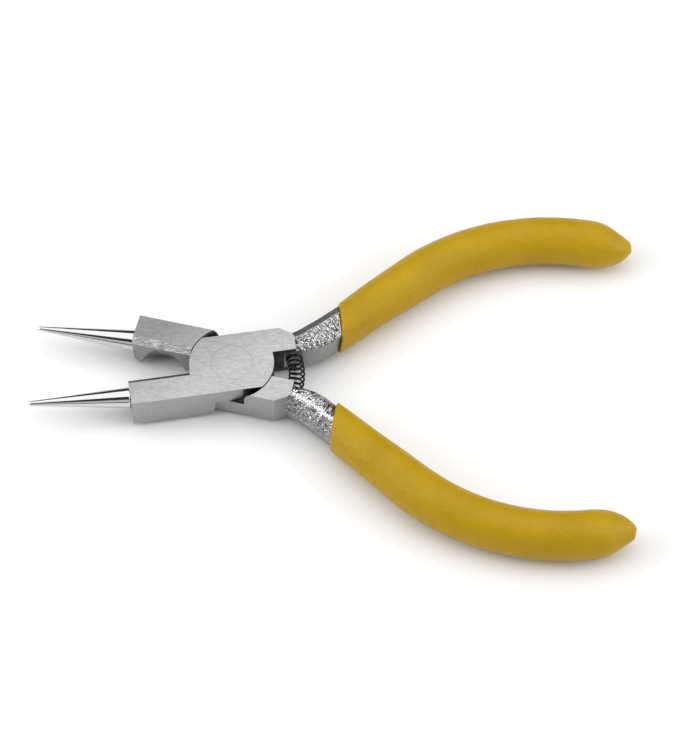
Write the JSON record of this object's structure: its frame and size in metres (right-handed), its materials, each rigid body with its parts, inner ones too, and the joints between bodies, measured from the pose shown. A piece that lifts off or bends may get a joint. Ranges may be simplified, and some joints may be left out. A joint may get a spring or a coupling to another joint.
{
  "type": "round nose pliers",
  "caption": "Small lap-joint pliers with round tapering noses, a coil return spring between the handle roots and dipped handle grips.",
  "frame": {"origin": "on the pivot axis, at the flat underside of the head", "axes": "+X from the pivot towards the handle ends, -X towards the jaws, +Z along the pivot axis out of the head's upper face, +Y across the tool in the plane that the halves swing in"},
  "size_m": [0.1133, 0.0766, 0.0092],
  "materials": {
    "steel": "satin ground and plated",
    "spring_wire": "blackened spring wire",
    "vinyl": "satin dipped vinyl, ochre yellow"
  },
  "bodies": {
    "upper_lap_side": {"top_half": "steel", "pivot_rivet": "steel", "return_spring": "spring_wire", "top_grip": "vinyl"},
    "lower_lap_side": {"bottom_half": "steel", "bottom_grip": "vinyl"}
  },
  "joints": [
    {"name": "pivot", "type": "hinge", "parent": "upper_lap_side", "child": "lower_lap_side", "pos_m": [0, 0, 0.0034], "axis": [0, 0, 1], "range_deg": [-8, 24], "stiffness_Nm_per_rad": 0.15, "deforming": ["return_spring"]}
  ]
}
